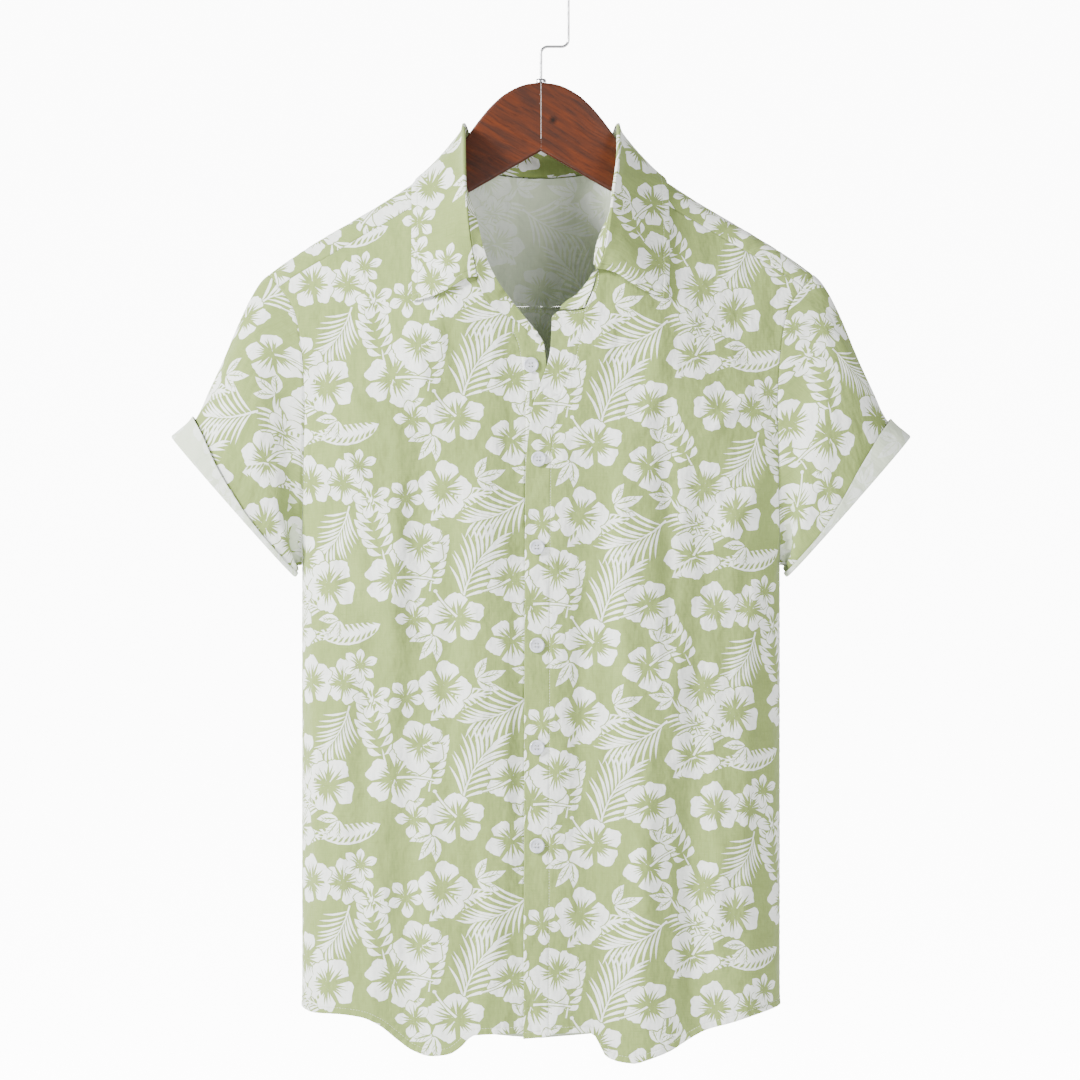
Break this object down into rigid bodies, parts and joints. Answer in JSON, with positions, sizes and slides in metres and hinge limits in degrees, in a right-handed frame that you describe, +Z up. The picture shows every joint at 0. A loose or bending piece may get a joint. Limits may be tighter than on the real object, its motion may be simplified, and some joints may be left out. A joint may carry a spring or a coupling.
{
  "type": "hawaiian shirt on a wooden hanger",
  "caption": "Short-sleeved hawaiian shirt hung on a wooden hanger, with a turned-down collar, turned-up sleeve hems, a buttoned front and a shirt-tail hem.",
  "frame": {"origin": "inside of the hook's crest, where a rail carries the hanger", "axes": "+Z up, -Y the way the shirt's front faces, +X towards the wearer's left"},
  "size_m": [0.709, 0.1227, 1.0718],
  "materials": {
    "printed_cotton": "matte plain-woven cotton with a white floral print",
    "cloth_wrong_side": "pale wrong side of the printed cotton",
    "button_resin": "glossy pearly resin",
    "stained_wood": "dark red-brown stain under satin lacquer",
    "chrome_wire": "bright plated wire"
  },
  "bodies": {
    "root": {"front_over": "printed_cotton", "front_under": "printed_cotton", "placket_over": "printed_cotton", "placket_under": "printed_cotton", "back": "printed_cotton", "yoke": "printed_cotton", "sleeve_left": "printed_cotton", "sleeve_right": "printed_cotton", "collar_stand": "printed_cotton", "collar_leaf": "printed_cotton", "cuff_left": "cloth_wrong_side", "cuff_right": "cloth_wrong_side", "button_1": "button_resin", "button_2": "button_resin", "button_3": "button_resin", "button_4": "button_resin", "button_5": "button_resin", "button_6": "button_resin", "hanger_arm_left": "stained_wood", "hanger_arm_right": "stained_wood", "hanger_hook": "chrome_wire", "hanger_ferrule": "chrome_wire"}
  },
  "joints": []
}
